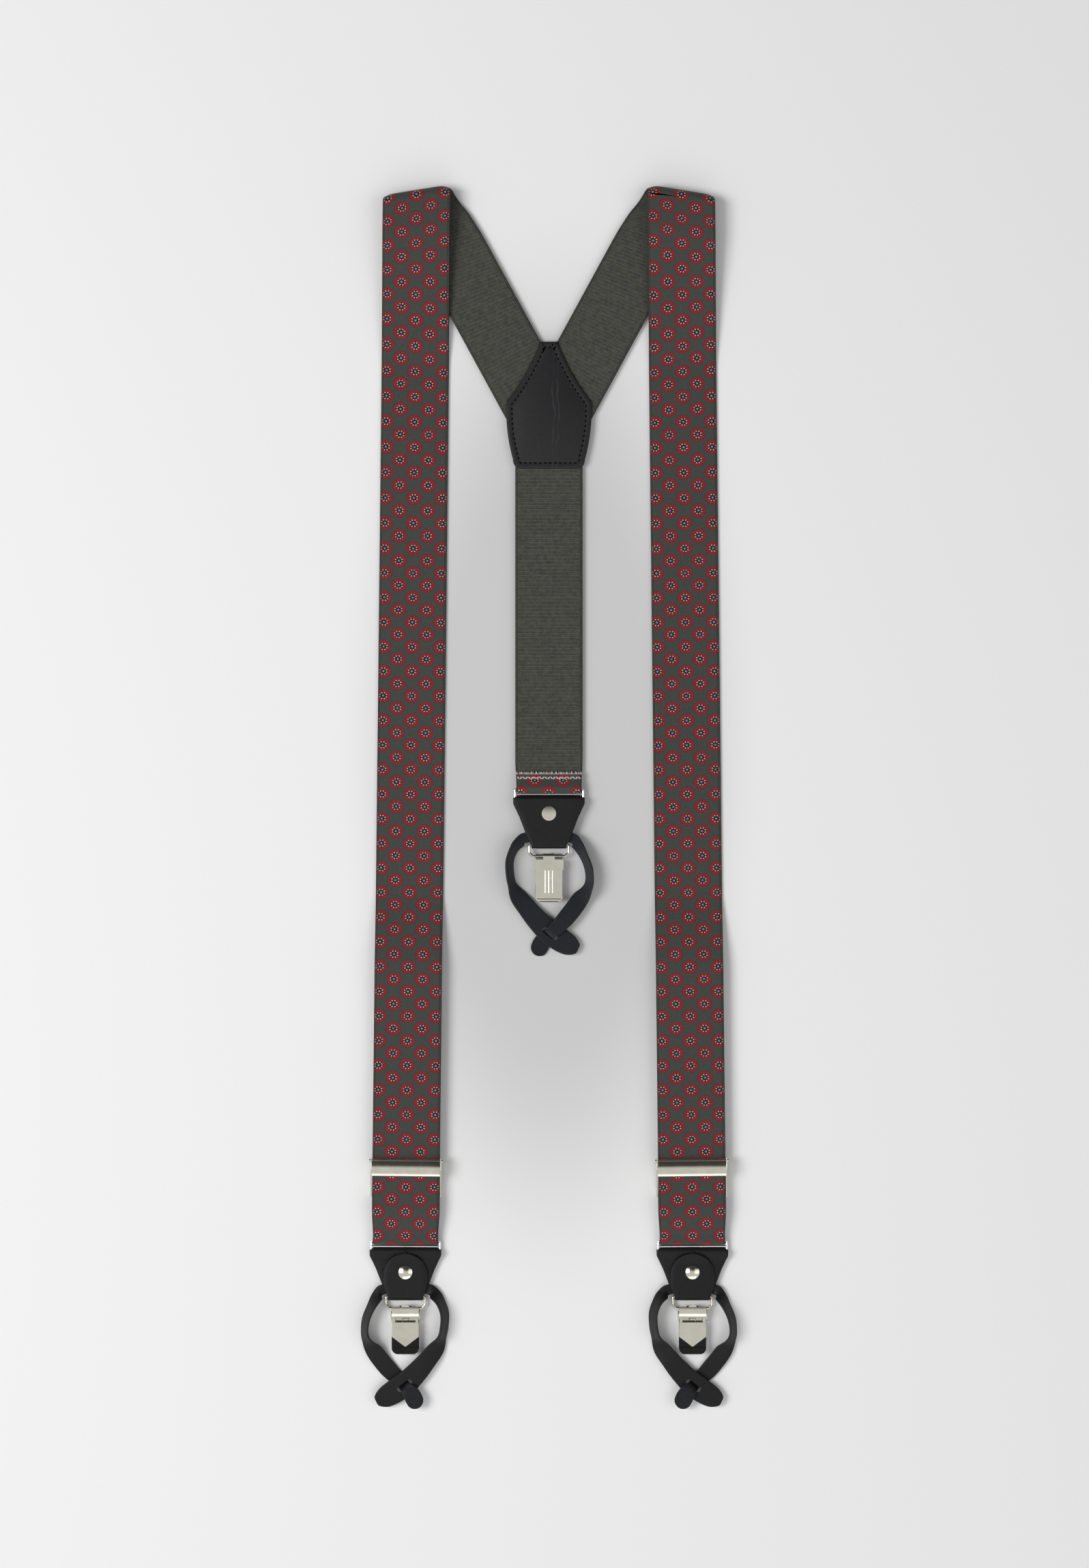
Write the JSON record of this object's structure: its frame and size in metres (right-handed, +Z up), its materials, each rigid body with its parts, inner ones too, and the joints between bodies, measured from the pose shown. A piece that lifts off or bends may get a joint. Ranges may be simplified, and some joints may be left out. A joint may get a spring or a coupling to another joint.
{
  "type": "suspenders",
  "caption": "Convertible dress suspenders with Y-shaped leather yoke, wide patterned elastic straps, metal adjusters, leather button straps and hinged metal clips.",
  "frame": {"origin": "centre of the footprint, on the surface the suspenders lie on", "axes": "+Z up towards the viewer, +Y along the straps towards the shoulders, +X to the right across the straps"},
  "size_m": [0.1962, 0.639, 0.0101],
  "materials": {
    "elastic_print": "woven, printed with small rosettes",
    "elastic_plain": "ribbed weave",
    "leather": "smooth, semi-matt",
    "suede": "suede",
    "nickel": "polished nickel plate",
    "jaw_black": "gloss",
    "spring_steel": "bright"
  },
  "bodies": {
    "harness": {"yoke_rear_leather": "leather", "yoke_front_leather": "leather", "centre_elastic": "elastic_plain", "back_loop_ring": "nickel", "left_back_elastic": "elastic_plain", "right_back_elastic": "elastic_plain", "left_fold_elastic": "elastic_print", "right_fold_elastic": "elastic_print"},
    "left_front": {"left_front_elastic": "elastic_print"},
    "left_adjuster": {"left_adjuster_frame": "nickel", "left_adjuster_pin": "nickel", "left_loop_elastic": "elastic_print"},
    "left_lever": {"left_adjuster_lever": "nickel"},
    "left_ring": {"left_loop_ring": "nickel"},
    "left_end": {"left_end_tab": "leather", "left_stud_cap": "nickel", "left_stud_base": "nickel", "left_tab_rivet": "nickel", "left_button_strap": "suede"},
    "left_hook_ring": {"left_clip_ring": "nickel"},
    "left_clip": {"left_clip_rear_jaw": "nickel", "left_clip_rear_pad": "jaw_black", "left_clip_pin": "nickel", "left_clip_spring": "spring_steel"},
    "left_clip_jaw": {"left_clip_front_jaw": "nickel", "left_clip_front_pad": "jaw_black"},
    "right_front": {"right_front_elastic": "elastic_print"},
    "right_adjuster": {"right_adjuster_frame": "nickel", "right_adjuster_pin": "nickel", "right_loop_elastic": "elastic_print"},
    "right_lever": {"right_adjuster_lever": "nickel"},
    "right_ring": {"right_loop_ring": "nickel"},
    "right_end": {"right_end_tab": "leather", "right_stud_cap": "nickel", "right_stud_base": "nickel", "right_tab_rivet": "nickel", "right_button_strap": "suede"},
    "right_hook_ring": {"right_clip_ring": "nickel"},
    "right_clip": {"right_clip_rear_jaw": "nickel", "right_clip_rear_pad": "jaw_black", "right_clip_pin": "nickel", "right_clip_spring": "spring_steel"},
    "right_clip_jaw": {"right_clip_front_jaw": "nickel", "right_clip_front_pad": "jaw_black"},
    "back_end": {"back_end_tab": "leather", "back_stud_cap": "nickel", "back_stud_base": "nickel", "back_tab_rivet": "nickel", "back_button_strap": "suede"},
    "back_hook_ring": {"back_clip_ring": "nickel"},
    "back_clip": {"back_clip_rear_jaw": "nickel", "back_clip_rear_pad": "jaw_black", "back_clip_pin": "nickel", "back_clip_spring": "spring_steel"},
    "back_clip_jaw": {"back_clip_front_jaw": "nickel", "back_clip_front_pad": "jaw_black"}
  },
  "joints": [
    {"name": "left_shoulder_fold", "type": "hinge", "parent": "harness", "child": "left_front", "pos_m": [-0.06717, 0.31222, 0.00565], "axis": [-0.9704, -0.2417, 0], "range_deg": [0, 172], "deforming": ["left_fold_elastic"]},
    {"name": "left_adjuster_slide", "type": "slide", "parent": "left_front", "child": "left_adjuster", "axis": [0.011, 0.9999, 0], "range_m": [0, 0.07], "deforming": ["left_loop_elastic"]},
    {"name": "left_adjuster_lever_turn", "type": "hinge", "parent": "left_adjuster", "child": "left_lever", "pos_m": [-0.07411, -0.18895, 0.00785], "axis": [-0.9999, 0.011, 0], "range_deg": [0, 80]},
    {"name": "left_loop_slide", "type": "slide", "parent": "left_adjuster", "child": "left_ring", "axis": [0.011, 0.9999, 0], "range_m": [-0.035, 0], "deforming": ["left_loop_elastic"]},
    {"name": "left_end_swing", "type": "hinge", "parent": "left_ring", "child": "left_end", "pos_m": [-0.0746, -0.2366, 0.0024], "axis": [1, 0, 0], "range_deg": [-30, 30]},
    {"name": "left_hook_ring_swing", "type": "hinge", "parent": "left_end", "child": "left_hook_ring", "pos_m": [-0.0746, -0.26005, 0.00235], "axis": [1, 0, 0], "range_deg": [-30, 30]},
    {"name": "left_clip_swing", "type": "hinge", "parent": "left_hook_ring", "child": "left_clip", "pos_m": [-0.0746, -0.26615, 0.00235], "axis": [1, 0, 0], "range_deg": [-30, 30]},
    {"name": "left_clip_open", "type": "hinge", "parent": "left_clip", "child": "left_clip_jaw", "pos_m": [-0.0746, -0.27045, 0.0031], "axis": [-1, 0, 0], "range_deg": [0, 14], "stiffness_Nm_per_rad": 0.15, "springref_deg": -17.19, "deforming": ["left_clip_spring"]},
    {"name": "right_shoulder_fold", "type": "hinge", "parent": "harness", "child": "right_front", "pos_m": [0.06717, 0.31222, 0.00565], "axis": [-0.9704, 0.2417, 0], "range_deg": [0, 172], "deforming": ["right_fold_elastic"]},
    {"name": "right_adjuster_slide", "type": "slide", "parent": "right_front", "child": "right_adjuster", "axis": [-0.011, 0.9999, 0], "range_m": [0, 0.07], "deforming": ["right_loop_elastic"]},
    {"name": "right_adjuster_lever_turn", "type": "hinge", "parent": "right_adjuster", "child": "right_lever", "pos_m": [0.07411, -0.18895, 0.00785], "axis": [-0.9999, -0.011, 0], "range_deg": [0, 80]},
    {"name": "right_loop_slide", "type": "slide", "parent": "right_adjuster", "child": "right_ring", "axis": [-0.011, 0.9999, 0], "range_m": [-0.035, 0], "deforming": ["right_loop_elastic"]},
    {"name": "right_end_swing", "type": "hinge", "parent": "right_ring", "child": "right_end", "pos_m": [0.0746, -0.2366, 0.0024], "axis": [1, 0, 0], "range_deg": [-30, 30]},
    {"name": "right_hook_ring_swing", "type": "hinge", "parent": "right_end", "child": "right_hook_ring", "pos_m": [0.0746, -0.26005, 0.00235], "axis": [1, 0, 0], "range_deg": [-30, 30]},
    {"name": "right_clip_swing", "type": "hinge", "parent": "right_hook_ring", "child": "right_clip", "pos_m": [0.0746, -0.26615, 0.00235], "axis": [1, 0, 0], "range_deg": [-30, 30]},
    {"name": "right_clip_open", "type": "hinge", "parent": "right_clip", "child": "right_clip_jaw", "pos_m": [0.0746, -0.27045, 0.0031], "axis": [-1, 0, 0], "range_deg": [0, 14], "stiffness_Nm_per_rad": 0.15, "springref_deg": -17.19, "deforming": ["right_clip_spring"]},
    {"name": "back_end_swing", "type": "hinge", "parent": "harness", "child": "back_end", "pos_m": [0, -0.00165, 0.0036], "axis": [1, 0, 0], "range_deg": [-30, 30]},
    {"name": "back_hook_ring_swing", "type": "hinge", "parent": "back_end", "child": "back_hook_ring", "pos_m": [0, -0.0251, 0.00365], "axis": [1, 0, 0], "range_deg": [-30, 30]},
    {"name": "back_clip_swing", "type": "hinge", "parent": "back_hook_ring", "child": "back_clip", "pos_m": [0, -0.0312, 0.00365], "axis": [1, 0, 0], "range_deg": [-30, 30]},
    {"name": "back_clip_open", "type": "hinge", "parent": "back_clip", "child": "back_clip_jaw", "pos_m": [0, -0.0355, 0.0029], "axis": [1, 0, 0], "range_deg": [0, 14], "stiffness_Nm_per_rad": 0.15, "springref_deg": -17.19, "deforming": ["back_clip_spring"]}
  ],
  "couplings": [
    {"joint": "left_loop_slide", "follows": "left_adjuster_slide", "ratio": -0.5},
    {"joint": "right_loop_slide", "follows": "right_adjuster_slide", "ratio": -0.5}
  ]
}
